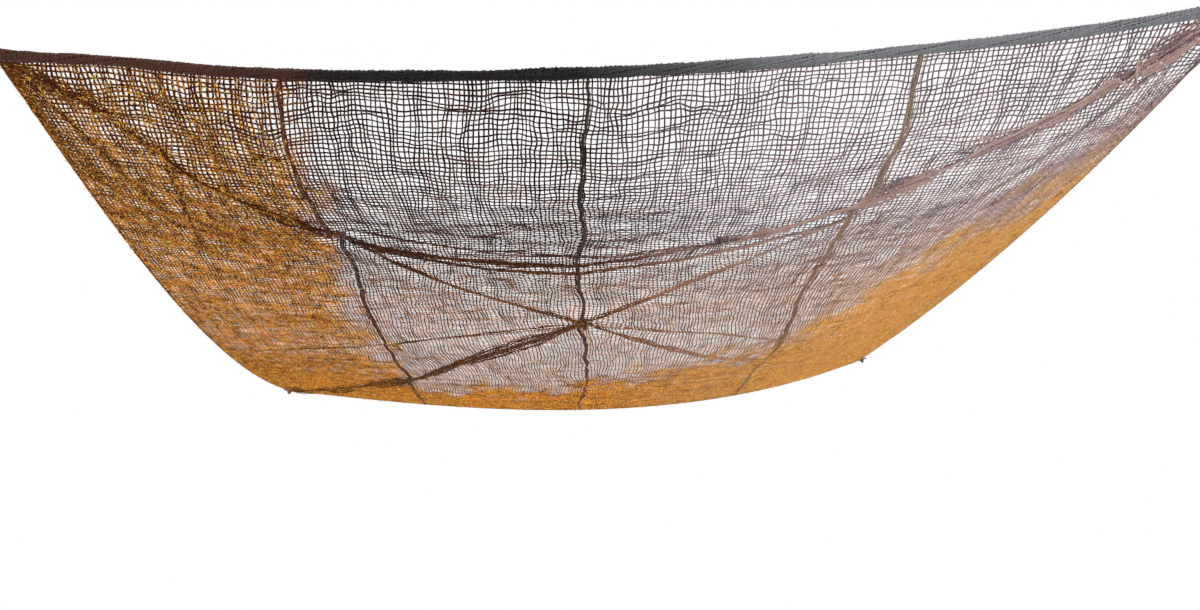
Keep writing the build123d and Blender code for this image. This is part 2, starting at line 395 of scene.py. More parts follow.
class Shader:
    """A node material, built a node at a time."""

    def __init__(self, name, roughness, sheen=0.0, metallic=0.0, colour=None):
        self.material = bpy.data.materials.new(name)
        self.material.use_nodes = True
        self.tree = self.material.node_tree
        self.surface = self.tree.nodes["Principled BSDF"]
        self.surface.inputs["Roughness"].default_value = roughness
        self.surface.inputs["Sheen Weight"].default_value = sheen
        self.surface.inputs["Metallic"].default_value = metallic
        if not metallic:
            self.surface.inputs["Specular IOR Level"].default_value = 0.15
        if colour:
            self.surface.inputs["Base Color"].default_value = colour

    def node(self, kind, inputs=None, **settings):
        node = self.tree.nodes.new(kind)
        for key, value in settings.items():
            setattr(node, key, value)
        for key, value in (inputs or {}).items():
            if isinstance(value, bpy.types.NodeSocket):
                self.tree.links.new(value, node.inputs[key])
            else:
                node.inputs[key].default_value = value
        return node

    def value(self, name):
        return self.node("ShaderNodeAttribute", attribute_name=name).outputs["Fac"]

    def noise(self, scale, detail=3.0):
        place = self.node("ShaderNodeTexCoord").outputs["Object"]
        inputs = {"Vector": place, "Scale": scale, "Detail": detail}
        return self.node("ShaderNodeTexNoise", inputs).outputs["Fac"]

    def range(self, value, low, high, to_low=0.0, to_high=1.0):
        node = self.node("ShaderNodeMapRange", {"Value": value, "From Min": low, "From Max": high,
                                                "To Min": to_low, "To Max": to_high})
        return node.outputs["Result"]

    def math(self, operation, a, b=0.0):
        return self.node("ShaderNodeMath", {0: a, 1: b}, operation=operation).outputs[0]

    def mix(self, part, a, b):
        """Two colours mixed. The colour sockets go by number, because others have the same names."""
        return self.node("ShaderNodeMix", {0: part, 6: a, 7: b}, data_type="RGBA").outputs[2]

    def finish(self, colour, height=None, depth=0.0, roughness=None):
        self.tree.links.new(colour, self.surface.inputs["Base Color"])
        if roughness is not None:
            self.tree.links.new(roughness, self.surface.inputs["Roughness"])
        if height is not None:
            bump = self.node("ShaderNodeBump", {"Height": height, "Distance": depth, "Strength": 1.0})
            self.tree.links.new(bump.outputs["Normal"], self.surface.inputs["Normal"])
        return self.material

    def twist(self, pitch, plies):
        """Height of a twisted yarn's plies: a wave that winds round the yarn once each pitch."""
        phase = self.math("ADD", self.math("DIVIDE", self.value("run"), pitch), self.value("turn"))
        wave = self.math("SINE", self.math("MULTIPLY", phase, 2 * pi * plies))
        return self.range(wave, -1, 1)


BROWN = linear(104, 52, 18)
GREY = linear(132, 134, 138)
ROPE_DARK, ROPE_LIGHT = linear(48, 36, 26), linear(96, 74, 52)


def netting_material():
    """Hairy spun yarn: umber or ochre by the vertices' own values, paler and greyer under a painted glare,
    with a painted glow at its edges in the sheet's plane and painted shade on its faces out of the sheet.
    """
    shader = Shader("netting_yarn", roughness=0.92, sheen=0.04)
    fibre = shader.noise(420.0, 2.0)
    coarse = shader.math("MULTIPLY", shader.noise(110.0), 0.7)
    grain = shader.math("ADD", shader.math("MULTIPLY", fibre, 0.6), coarse)
    tone = shader.math("ADD", shader.value("tone"), shader.range(grain, 0.4, 0.9, -0.40, 0.40))
    # Painted light: the yarn is lighter at its edges in the sheet's plane and darker on its faces out of it,
    # and its tone carries painted light and shade by place.
    light = shader.math("ADD", shader.value("painted_glow_weight"), shader.range(tone, 0.0, 1.0, -0.5, 0.5))
    light = shader.range(light, 0.30, 1.15)
    # The second colour of each pair is the yarn under the painted glare.
    bleach = shader.value("bleach")
    shade = shader.mix(light, shader.mix(bleach, linear(26, 12, 15), linear(106, 90, 100)),
                       shader.mix(bleach, linear(130, 90, 90), linear(196, 172, 172)))
    ochre = shader.mix(light, shader.mix(bleach, linear(62, 20, 2), linear(142, 92, 48)),
                       shader.mix(bleach, linear(255, 170, 56), linear(232, 186, 124)))
    colour = shader.mix(shader.value("ochre"), shade, ochre)
    height = shader.math("ADD", shader.twist(0.011, 2), shader.math("MULTIPLY", fibre, 0.8))
    return shader.finish(colour, height, 0.0004)


def cord_material(name, dark, light, pitch, plies, glare_colour=GREY):
    """Twisted cord, brown where the netting is ochre, and paler where the netting has its painted glare."""
    shader = Shader(name, roughness=0.9, sheen=0.2)
    fibre = shader.noise(500.0, 2.0)
    grain = shader.math("ADD", shader.noise(30.0, 3.0), shader.math("MULTIPLY", fibre, 0.5))
    colour = shader.mix(shader.range(grain, 0.5, 1.0), dark, light)
    colour = shader.mix(shader.value("ochre"), colour, BROWN)
    # Painted glare: the cord pales towards its given colour where the netting is glared.
    colour = shader.mix(shader.math("MULTIPLY", shader.value("bleach"), 0.85), colour, glare_colour)
    height = shader.math("ADD", shader.twist(pitch, plies), shader.math("MULTIPLY", fibre, 0.7))
    return shader.finish(colour, height, 0.0005)


def steel_material(name, bright, dull):
    """Galvanised steel with dull grey spangle and rust freckles."""
    shader = Shader(name, roughness=0.45, metallic=0.9)
    spangle = shader.noise(260.0, 3.0)
    rust = shader.range(shader.noise(120.0, 5.0), 0.60, 0.68)
    colour = shader.mix(shader.range(spangle, 0.35, 0.65), dull, bright)
    colour = shader.mix(rust, colour, linear(96, 52, 28))
    rough = shader.range(spangle, 0.3, 0.7, 0.35, 0.6)
    return shader.finish(colour, spangle, 0.0002, rough)


# ---------------- colours by place

# The edge of the golden area at the foot, as points (s, t), and of the one at the left, as s
GOLD_EDGE = np.array([(-1.0, 0.75), (-0.42, 0.73), (0.0, 0.70), (0.17, 0.61), (0.44, 0.57), (0.62, 0.42),
                      (0.75, 0.28), (0.9, 0.17), (1.0, 0.10)])
LEFT_GOLD_EDGE = -0.42


def beyond_gold_edge(s, t):
    """How far towards the foot a place is from the edge of the golden area."""
    return t - np.interp(s, GOLD_EDGE[:, 0], GOLD_EDGE[:, 1])


def ragged(s, t):
    """A smooth wavy value about 0 that breaks up the edges of the coloured areas."""
    return (np.sin(23 * s + 9 * t) + np.sin(41 * t - 17 * s + 1) + 0.7 * np.sin(67 * s + 31 * t + 2)
            + 0.7 * np.sin(83 * t + 47 * s)) / 3.4


def zones(s, t):
    """How ochre the yarn is, and how much painted glare pales it, by place in the sheet."""
    wave = ragged(s, t)
    left = np.clip((LEFT_GOLD_EDGE - s + 0.08 * wave) / 0.14, 0, 1)
    foot = np.clip((beyond_gold_edge(s, t) + 0.10 * wave) / 0.17, 0, 1)
    belly = 0.48 * np.clip((t - 0.20 + 0.05 * wave) / 0.22, 0, 1)
    side = 0.5 * np.clip((s - 0.88) / 0.1, 0, 1) * np.clip((t - 0.1) / 0.1, 0, 1)
    ochre = np.maximum(np.maximum(left, foot), np.maximum(belly, side))
    # Painted glare: paler and greyer from the middle of the sheet towards the right, less so towards the
    # foot.
    bleach = np.clip((s + 0.05 * wave) / 0.35, 0, 1) * np.clip(1.15 - t * 1.1, 0.6, 1)
    return ochre, bleach


def glow(s, t):
    """How much lighter the yarn's tone is there, as painted light and shade: painted shade dulls the near
    left and the front, and a painted glow lightens the foot and the far right.
    """
    near_left = np.clip((-0.35 - s) / 0.2, 0, 1) * np.clip(1 - t / 0.45, 0, 1)
    far_right = np.clip((s - 0.45) / 0.3, 0, 1) * np.clip((t - 0.05) / 0.15, 0, 1)
    front = np.clip(1 - t / 0.25, 0, 1)
    foot = np.clip(beyond_gold_edge(s, t) / 0.15, 0, 1)
    return 0.35 * far_right + 0.18 * foot - 0.30 * near_left - 0.10 * front


def zones_along(s, t, at):
    """The zones at as many even places along an edge as at has, from the s and t of the edge's own points."""
    run, here = np.linspace(0, 1, len(s)), np.linspace(0, 1, len(at))
    return zones(np.interp(here, run, s), np.interp(here, run, t))


# ---------------- the netting

def on_net(piece, node=None):
    """Puts a piece on the net's body, and in the place of a CAD node if it has one."""
    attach(piece, "net")
    if node:
        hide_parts(node)


def half_positions(first, last):
    """Positions of an edge, the yarns between it and the next edge, and that edge."""
    return np.concatenate([[first], np.arange(first, last) + 0.5, [last]])


def netting_half(name, material, first_column, first_row, last_row):
    """Both sets of yarns of half a strip, woven over and under each other, and the fluff on them."""
    columns = half_positions(first_column, first_column + STRIP_MESHES)
    rows = half_positions(first_row, last_row)
    pick = np.ix_(np.searchsorted(ALL_COLUMNS, columns), np.searchsorted(ALL_ROWS, rows))
    points, normals, s, t = (grid[pick] for grid in SHEET)
    ochre, bleach = zones(s, t)

    over = np.where((np.floor(columns)[:, None] + np.floor(rows)[None, :]) % 2 == 0, 1.0, -1.0)
    over[0] = over[-1] = 0
    over[:, 0] = over[:, -1] = 0
    pile = Pile()
    draw = np.random.default_rng(int(first_column * 1000 + first_row))
    bold = 1 + 0.16 * np.clip(1 - t / 0.3, 0, 1) * np.clip((0.3 - s) / 0.4, 0, 1)
    bold *= 1 - 0.07 * np.clip((s - 0.4) / 0.3, 0, 1) * np.clip((t - 0.05) / 0.15, 0, 1)
    hairy = (1 + 0.30 * ochre * np.clip(1.3 - 1.5 * t, 0.2, 1)) * bold
    grids = (points, normals, over, ochre, bleach, t, hairy, glow(s, t))
    warp = [grid[1:-1] for grid in grids]
    weft = [grid[:, 1:-1].swapaxes(0, 1) for grid in grids]
    weft[2] = -weft[2]
    for yarns, radius, thinning in ((warp, WARP_RADIUS, 0.0), (weft, WEFT_RADIUS, WEFT_THINNING)):
        lines, turned, lift, yarn_ochre, yarn_painted_glare, down, thicker, lighter = yarns
        count, steps = lines.shape[:2]
        slub = patchy((count, steps), (1, 4), int(draw.integers(1e6)))
        thin = draw.normal(0, 0.08, (count, 1))
        radii = radius * np.clip(1 + 0.18 * slub + thin + 0.08 * draw.normal(0, 1, (count, steps)), 0.6, 1.8)
        radii *= thicker
        radii *= 1 - thinning * np.clip(1.6 * down, 0, 1) * (1 - 0.7 * np.clip(2 * yarn_ochre - 1, 0, 1))
        lines = lines + turned * (lift * radius * CRIMP * np.clip(1.2 - down, 0.4, 1))[..., None]
        # The tone carries the painted light and shade of glow(), with random patches and differences between
        # yarns.
        tone = 0.5 + lighter + 0.28 * patchy((count, steps), (1, 2.5), int(draw.integers(1e6)))
        tone += 0.12 * draw.normal(0, 1, (count, 1)) + 0.10 * draw.normal(0, 1, (count, steps))
        tubing = tubes(lines, turned, radii, YARN_SIDES)
        pile.add(tubing, ochre=yarn_ochre, bleach=yarn_painted_glare, tone=np.clip(tone, -0.3, 1.3))
    piece = pile.build(name + "_woven", material)
    on_net(piece, node=name)
    fluff(name.replace("netting", "fluff"), points, normals, s, t, ochre, bleach, draw)


def fluff(name, points, normals, s, t, ochre, bleach, draw):
    """Loose fibres that stand off the yarns of half a strip and bridge its meshes: flat slivers that end in a
    point."""
    front_left = np.clip((LEFT_GOLD_EDGE - s) / 0.1, 0, 1) * np.clip(1.3 - t / 0.5, 0, 1)
    front_left *= 0.65 + 0.35 * np.clip(1.5 - 5 * t, 0, 1)
    amount = FLUFF_PER_MESH * (0.06 + 1.2 * ochre ** 1.5 + front_left) * (1 - 0.2 * np.clip(1.4 * t, 0, 1))
    count = draw.poisson(amount * np.clip(0.9 + 0.5 * ragged(3 * s, 3 * t), 0.3, 1.4))
    which = np.repeat(np.arange(points.shape[0] * points.shape[1]), count.ravel())
    at = points.reshape(-1, 3)[which]
    out = normals.reshape(-1, 3)[which]
    heading = draw.normal(0, 1, at.shape)
    heading -= (heading * out).sum(1, keepdims=True) * out * 0.75
    heading = unit(heading)
    each = (len(at), 1)
    start = at + heading * draw.uniform(-0.004, 0.002, each) + out * draw.normal(0, 0.0012, each)
    curl = np.cross(heading, out) * draw.normal(0, 0.35, each) + out * draw.normal(0, 0.15, each)
    length = draw.uniform(*FLUFF_LENGTH, each) * (1 + 0.4 * (t * ochre).ravel()[which, None])
    middle = start + heading * length * 0.5
    tip = middle + (heading + curl) * length * 0.5
    side = np.cross(heading, out + 0.6 * draw.normal(0, 1, at.shape))
    wider = (1 + 0.55 * ochre + 0.6 * front_left).ravel()[which, None]
    side *= draw.uniform(*FLUFF_HALF_WIDTH, each) * wider / np.linalg.norm(side, axis=1, keepdims=True)
    corners = [start + side, start - side, middle + 0.9 * side, middle - 0.9 * side, tip]
    vertices = np.stack(corners, 1).reshape(-1, 3)
    index = np.arange(len(vertices)).reshape(-1, len(corners))
    pile = Pile()
    pile.add((vertices, [index[:, [0, 1, 3, 2]], index[:, [2, 3, 4]]], np.zeros((len(vertices), 3))))
    fibre_ochre, fibre_painted_glare = ochre.ravel()[which], bleach.ravel()[which]
    pick = draw.random(len(which))
    down = t.ravel()[which]
    shadow = 0.6 - 0.35 * np.clip(down / 0.10, 0, 1) - 0.10 * np.clip(2 * down - 0.8, 0, 1)
    golden = np.where(pick < shadow, FIBRE_BROWN, np.where(pick < 0.66, FIBRE_GOLD, FIBRE_STRAW))
    plain = np.where(pick < 0.5, FIBRE_MAUVE, np.where(pick < 0.8, FIBRE_BEIGE, FIBRE_BROWN))
    kind = np.where(draw.random(len(which)) < fibre_ochre, golden, plain)
    # Brown fibres turn beige under the painted glare.
    kind = np.where((kind == FIBRE_BROWN) & (draw.random(len(which)) < fibre_painted_glare), FIBRE_BEIGE, kind)
    piece = pile.build(name, FLUFF[0])
    for material in FLUFF[1:]:
        piece.data.materials.append(material)
    piece.data.polygons.foreach_set("material_index", np.concatenate([kind, kind]).astype(np.int32))
    on_net(piece)


# The yarns of the whole sheet, and the places where a strip or one of its halves begins or ends
ALL_COLUMNS = np.unique(np.concatenate([half_positions(k * STRIP_MESHES, (k + 1) * STRIP_MESHES)
                                        for k in range(STRIPS)]))
MIDDLE_ROW = ROWS // 2
ALL_ROWS = np.unique(np.concatenate([half_positions(0, MIDDLE_ROW), half_positions(MIDDLE_ROW, ROWS)]))
SHEET = hang(ALL_COLUMNS, ALL_ROWS)

# Loose fibres: how many to a mesh where its share is 1, and the range of their lengths and half widths
FLUFF_PER_MESH = 6.4
FLUFF_LENGTH = (0.005, 0.013)
FLUFF_HALF_WIDTH = (0.00018, 0.00044)
FIBRE_STRAW, FIBRE_GOLD, FIBRE_BROWN, FIBRE_MAUVE, FIBRE_BEIGE = range(5)
FLUFF = [Shader(name, roughness=0.9, colour=colour).material for name, colour in (
    ("fibre_straw", linear(255, 222, 120)),
    ("fibre_gold", linear(255, 172, 58)),
    ("fibre_brown", linear(148, 68, 26)),
    ("fibre_mauve", linear(190, 158, 172)),
    ("fibre_beige", linear(214, 188, 166)),
)]


def build_netting():
    material = netting_material()
    for number, name in enumerate(STRIP_NAMES):
        first = number * STRIP_MESHES
        for part, top, bottom in (("front", 0, MIDDLE_ROW), ("back", MIDDLE_ROW, ROWS)):
            netting_half(f"netting_{name}_{part}", material, first, top, bottom)


def resample(line, normals, step):
    """A line's points at even steps, with normals to match, and how far along it they are."""
    run = run_along(line)
    at = np.linspace(0, run[-1], max(int(run[-1] / step), 2) + 1)
    points = np.stack([np.interp(at, run, line[:, k]) for k in range(3)], -1)
    turned = np.stack([np.interp(at, run, normals[:, k]) for k in range(3)], -1)
    return points, unit(turned), at


def cross_axes(points, normals):
    """The two directions across a line at each of its points: along the sheet, and out of it."""
    tangents = unit(np.gradient(points, axis=0))
    sideways = unit(np.cross(tangents, normals))
    return sideways, np.cross(sideways, tangents)


def strands(points, normals, at, radius, strand_radius, count, pitch, wobble=0.0, seed=0):
    """Strands that wind round a line: their lines, normals and radii, for tubes()."""
    sideways, upward = cross_axes(points, normals)
    draw = np.random.default_rng(seed)
    lines, turned = [], []
    for k in range(count):
        angle = 2 * pi * (at / pitch + k / count)
        if wobble:
            angle = angle + wobble * patchy((1, len(at)), (1, 14), seed + k)[0]
        out = outward_at(angle, sideways, upward)
        lines.append(points + radius * out)
        turned.append(out)
    radii = strand_radius * (1 + 0.08 * draw.normal(0, 1, (count, len(at))))
    return np.array(lines), np.array(turned), radii


def edge_line(which):
    """The points along a seam or edge of the sheet (its number, "head" or "foot"), with normals, s and t."""
    if isinstance(which, str):
        row = 0 if which == "head" else len(ALL_ROWS) - 1
        return [grid[:, row] for grid in SHEET]
    column = int(np.searchsorted(ALL_COLUMNS, which * STRIP_MESHES))
    return [grid[column] for grid in SHEET]


def rope_piece(node, line, radius, strand_radius, count, pitch, step, material, slot, wobble=0.0, fuzz=0,
               fuzz_length=0.006, seed=0):
    """A twisted cord along a line of the sheet, with stray fibres, in the place of a CAD node."""
    points, normals, s, t = line
    points, normals, at = resample(points, normals, step)
    ochre, bleach = zones_along(s, t, at)
    pile = Pile()
    lines, turned, radii = strands(points, normals, at, radius, strand_radius, count, pitch, wobble, seed)
    tubing = tubes(lines, turned, radii, ROPE_SIDES)
    pile.add(tubing, ochre=np.tile(ochre, (count, 1)), bleach=np.tile(bleach, (count, 1)))
    if fuzz:
        draw = np.random.default_rng(seed + 50)
        pick = draw.integers(0, len(at), fuzz)
        out = unit(draw.normal(0, 1, (fuzz, 3)))
        roots = points[pick] + out * radius
        lengths = draw.uniform(0.3, 1.0, fuzz) * fuzz_length
        pile.add(hairs(roots, out, lengths, 0.00016), ochre=ochre[pick], bleach=bleach[pick])
    on_net(pile.build(node + "_laid", material), node)


def build_lines():
    seam = cord_material("seam_cord", linear(26, 16, 16), linear(64, 42, 36), 0.012, 1, linear(146, 130, 108))
    for number, name in enumerate(SEAM_NAMES, start=1):
        rope_piece("seam_cord_" + name, edge_line(number), *SEAM_LAY, seam, "seam_cord", wobble=0.9,
                   fuzz=1500, fuzz_length=0.007, seed=10 * number)
    glare_colour = linear(150, 118, 88)
    line = cord_material("selvedge_line", linear(40, 24, 16), linear(88, 54, 30), 0.008, 1, glare_colour)
    for which, node, seed in ((0, "side_line_left", 100), (STRIPS, "side_line_right", 100 + STRIPS),
                              ("foot", "foot_line", 150)):
        rope_piece(node, edge_line(which), *LINE_LAY, line, "selvedge_line", fuzz=900, seed=seed)


# The hem: its bundled yarns, their pitch and reach from its middle, and the warp's ends wrapped round them
HEM_YARNS = 18
HEM_PITCH = 0.42
HEM_YARN_REACH = 0.0088
HEM_YARN_RADIUS = 0.0021
WRAP_REACH = 0.0107
WRAP_RADIUS = 0.0014
HEM_HAIRS = 5000
HEM_HAIR_REACH = 0.0105


def build_hem():
    """The rolled hem: bundled yarns that run along it, and the netting's ends rolled round them."""
    # The hem's near-black colours, darker than the netting's own yarn, are painted shade: the thick hem seen
    # dark against the light.
    material = cord_material("hem", linear(8, 6, 9), linear(30, 22, 25), 0.02, 1)
    points, normals, s, t = edge_line("head")
    points, normals, at = resample(points, normals, 0.005)
    ochre, bleach = zones_along(s, t, at)
    ochre = ochre * 0.5
    sideways, upward = cross_axes(points, normals)
    lump = 0.94 + 0.11 * patchy((1, len(at)), (1, 24), 31)[0] + 0.06 * patchy((1, len(at)), (1, 6), 32)[0]
    lump += 0.25 * np.exp(-at / 0.08)
    pile = Pile()
    lines, turned = [], []
    for k in range(HEM_YARNS):
        angle = 2 * pi * (k / HEM_YARNS + at / HEM_PITCH) + 0.25 * patchy((1, len(at)), (1, 18), 40 + k)[0]
        out = outward_at(angle, sideways, upward)
        reach = (HEM_YARN_REACH * lump * (1 + 0.05 * patchy((1, len(at)), (1, 9), 60 + k)[0]))[:, None]
        lines.append(points + reach * out)
        turned.append(out)
    radii = HEM_YARN_RADIUS * (1 + 0.12 * rng.normal(0, 1, (HEM_YARNS, len(at))))
    tubing = tubes(np.array(lines), np.array(turned), radii, YARN_SIDES)
    pile.add(tubing, ochre=np.tile(ochre, (HEM_YARNS, 1)), bleach=np.tile(bleach, (HEM_YARNS, 1)))

    # the ends of the netting's warp, rolled over the bundle, one for each column of meshes
    wraps, steps = COLUMNS, 22
    draw = np.random.default_rng(5)
    start = (np.arange(wraps) + 0.5) / wraps * (len(at) - 1)
    turn = np.linspace(-0.6 * pi, 1.35 * pi, steps)
    slant = draw.normal(0, 0.8, (wraps, 1)) + 2.2
    waver = 0.25 * draw.normal(0, 1, (wraps, steps)).cumsum(1) * 0.3
    index = np.clip(start[:, None] + slant * np.linspace(-1, 1, steps)[None] + waver, 0, len(at) - 1)

    def along_hem(values):
        return np.interp(index, np.arange(len(at)), values)

    centre, side_at, up_at = [np.stack([along_hem(vectors[:, k]) for k in range(3)], -1)
                              for vectors in (points, sideways, upward)]
    reach = along_hem(WRAP_REACH * lump)
    out = outward_at(turn, side_at, up_at)
    radii = WRAP_RADIUS * (1 + 0.15 * draw.normal(0, 1, (wraps, steps)))
    tubing = tubes(centre + reach[..., None] * out, out, radii, YARN_SIDES)
    pile.add(tubing, ochre=along_hem(ochre), bleach=along_hem(bleach))

    pick = draw.integers(0, len(at), HEM_HAIRS)
    out = outward_at(draw.uniform(0, 2 * pi, HEM_HAIRS), sideways[pick], upward[pick])
    lean = unit(out + 0.6 * draw.normal(0, 1, (HEM_HAIRS, 3)))
    roots = points[pick] + out * HEM_HAIR_REACH * lump[pick][:, None]
    lengths = draw.uniform(0.002, 0.007, HEM_HAIRS)
    pile.add(hairs(roots, lean, lengths, 0.00017), ochre=ochre[pick], bleach=bleach[pick])

    rope = cord_material("rope", ROPE_DARK, ROPE_LIGHT, 0.02, 3)
    rope_piece("head_rope", edge_line("head"), *HEAD_ROPE_LAY, rope, "rope", seed=300)
    on_net(pile.build("head_hem_rolled", material), "head_hem")


# Packed yarns: the step along them, how far a crease's bends are rounded, and the yarns' radius
PACKED_STEP = 0.007
BEND_REACH = 0.06
PACKED_RADIUS = 0.0012


def follow(line):
    """A crease's line as an even run of (s, t) with its bends rounded, and how far along it they are."""
    knots = np.array(line)
    run = run_along(knots * PLAN)
    at = np.linspace(0, run[-1], int(run[-1] / PACKED_STEP) + 2)
    path = np.stack([np.interp(at, run, knots[:, k]) for k in (0, 1)], -1)
    reach = int(BEND_REACH / PACKED_STEP)
    kernel = np.hanning(2 * reach + 3)[1:-1]
    padded = np.concatenate([2 * path[:1] - path[reach:0:-1], path, 2 * path[-1:] - path[-2:-reach - 2:-1]])
    path = np.stack([np.convolve(padded[:, k], kernel / kernel.sum(), "valid") for k in (0, 1)], -1)
    return np.clip(path, (-1, 0), (1, 1)), at


def sheet_tree():
    """The crossings of the sheet by their place in plan, to find the nearest one."""
    plan = np.stack([SHEET[2], SHEET[3]], -1).reshape(-1, 2) * PLAN
    tree = KDTree(len(plan))
    for number, place in enumerate(plan):
        tree.insert((*place, 0), number)
    tree.balance()
    return tree


SHEET_TREE = sheet_tree()


def on_sheet(path):
    """The hanging sheet's point nearest to each (s, t) of a path, smoothed along it, and its normal."""
    nearest = [SHEET_TREE.find((*place, 0))[1] for place in path * PLAN]
    smooth = smooth_sheet(path[:, 0], path[:, 1])
    normals = SHEET[1].reshape(-1, 3)[nearest]
    height = ((SHEET[0].reshape(-1, 3)[nearest] - smooth) * normals).sum(1)
    kernel = np.hanning(9)[1:-1]
    padded = np.pad(np.column_stack([normals, height]), ((3, 3), (0, 0)), "edge")
    even = np.stack([np.convolve(padded[:, k], kernel / kernel.sum(), "valid") for k in range(4)], -1)
    normals = unit(even[:, :3])
    return smooth + normals * even[:, 3:], normals


def packed(pile, points, normals, at, count, spread, ochre, bleach, tone, draw):
    """Strands of packed yarn side by side along a line of the sheet, each wandering a little."""
    sideways, upward = cross_axes(points, normals)
    steps = len(at)
    spread = spread * (1 + 0.5 * wavy(steps, 30, draw))
    lines = []
    for k in range(count):
        wander = wavy(steps, 6, draw)
        wander += 1.3 * wavy(steps, 22, draw)
        across = (k - (count - 1) / 2) * spread + 0.0026 * wander
        below = 0.0010 + 0.0012 * wavy(steps, 5, draw)
        lines.append(points + sideways * across[:, None] - upward * below[:, None])
    thick = np.stack([wavy(steps, 7, draw) for _ in range(count)])
    tapered = np.clip(0.2 + np.sin(pi * at / at[-1]) * 2.5, 0, 1)
    radii = PACKED_RADIUS * np.clip(1 + 0.3 * thick, 0.5, 1.8) * tapered
    tones = tone + 0.25 * draw.random((count, steps))
    add_yarns(pile, lines, normals, radii, ochre, bleach, tones)


def add_yarns(pile, lines, normals, radii, ochre, bleach, tones):
    """Adds yarns that lie side by side to a pile: one line, radii and tones each, the rest in common."""
    count = len(lines)
    tubing = tubes(np.array(lines), np.array([normals] * count), radii, YARN_SIDES)
    pile.add(tubing, ochre=np.tile(ochre, (count, 1)), bleach=np.tile(bleach, (count, 1)), tone=tones)


def build_creases():
    """Where the netting is drawn into creases: its packed yarns, strand by strand."""
    draw = np.random.default_rng(77)
    pile = Pile()
    for line, _, _, _, count in CREASES:
        path, at = follow(line)
        points, normals = on_sheet(path)
        ochre, bleach = zones(path[:, 0], path[:, 1])
        # Painted shade in the creases: their packed yarns are tinted towards ochre and given a darker tone,
        # darkest near the hem and lighter under the painted glare.
        painted_crease_shade = np.maximum(ochre, 0.6 * (1 - 0.7 * bleach))
        tone = 0.40 * np.clip((path[:, 1] - 0.15) / 0.2, 0, 1) + 1.2 * bleach - 0.25
        packed(pile, points, normals, at, count, 0.0022, painted_crease_shade, bleach, tone, draw)
    on_net(pile.build("netting_creases", netting_material()))


def build_selvedges():
    """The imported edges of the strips, along their seams."""
    draw = np.random.default_rng(78)
    pile = Pile()
    for seam, count in ((1, 5), (2, 3), (3, 9)):
        points, normals, s, t = edge_line(seam)
        points, normals, at = resample(points, normals, PACKED_STEP)
        ochre, bleach = zones_along(s, t, at)
        # The selvedges' tone is the painted glare: lighter towards the right.
        packed(pile, points, normals, at, count, 0.0019, np.maximum(ochre, 0.4), bleach, bleach, draw)
    on_net(pile.build("netting_selvedges", netting_material()))


def build_gathers():
    """The netting's corners, drawn together where they are lashed to the rope eyes."""
    draw = np.random.default_rng(91)
    pile = Pile()
    along = np.linspace(0, 1, GATHER_STEPS)
    for (s0, t0), (reach, count) in GATHERS.items():
        for k in range(count):
            turn = (k + 0.5 + draw.uniform(-0.35, 0.35)) / count * pi / 2
            length = reach * draw.uniform(0.5, 1.0)
            heading = np.clip(turn + 0.25 * draw.normal() * along, 0, pi / 2)
            across, down = along * length * np.cos(heading), along * length * np.sin(heading)
            path = np.stack([s0 - np.sign(s0) * across / PLAN[0], t0 + (1 - 2 * t0) * down / PLAN[1]], -1)
            points, normals = on_sheet(path)
            sideways, upward = cross_axes(points, normals)
            spread = 0.0010 + 0.0030 * along
            lines = []
            for strand in range(GATHER_STRANDS):
                beside = spread * (strand - 1 + wavy(GATHER_STEPS, 7, draw))
                below = 0.002 - 0.002 * along + 0.0012 * wavy(GATHER_STEPS, 7, draw)
                lines.append(points + sideways * beside[:, None] - upward * below[:, None])
            uneven = 1 + 0.15 * draw.normal(0, 1, (GATHER_STRANDS, GATHER_STEPS))
            radii = GATHER_RADIUS * (1.1 - 0.75 * along ** 2) * uneven
            ochre, bleach = zones(path[:, 0], path[:, 1])
            tones = np.tile(0.15 + 0.5 * along, (GATHER_STRANDS, 1))
            add_yarns(pile, lines, normals, radii, np.maximum(ochre, 0.3), bleach, tones)

    # the far left corner is bunched into a loose crumple
    along = np.linspace(0, 2 * pi, CRUMPLE_STEPS)
    for _ in range(CRUMPLE_LOOPS):
        size = np.array(CRUMPLE_SIZE) * draw.uniform(0.5, 1.1)
        path = np.array(CRUMPLE_AT) + draw.normal(0, 1, 2) * CRUMPLE_SCATTER + np.zeros((CRUMPLE_STEPS, 2))
        for wave in (1, 2, 3):
            path += np.sin(wave * along[:, None] + draw.uniform(0, 2 * pi, 2)) * size / wave
        points, normals = on_sheet(np.clip(path, (-0.997, 0), (1, 0.997)))
        depth = 0.002 + 0.002 * wavy(CRUMPLE_STEPS, 9, draw)
        line = (points - normals * abs(depth)[:, None])[None]
        radii = PACKED_RADIUS * (1 + 0.2 * draw.normal(0, 1, (1, CRUMPLE_STEPS)))
        tubing = tubes(line, normals[None], radii, YARN_SIDES)
        pile.add(tubing, ochre=1, bleach=0.1, tone=draw.uniform(-0.1, 0.7))
    on_net(pile.build("netting_gathers", netting_material()))


def node_material(prefix, material):
    """Gives a material to the CAD nodes whose names begin with the prefix."""
    for name, node in frame["nodes"].items():
        if name.startswith(prefix):
            node.data.materials.clear()
            node.data.materials.append(material)


# The eye rope's strands as a share of its radius, their turns round the eye, and the points round a strand
EYE_STRAND = 0.47
EYE_TURNS = 5
EYE_SIDES = 8

# The seizing twine's radius as a share of the seizing's wall, and the points round it
TWINE_FILL = 0.47
TWINE_SIDES = 7


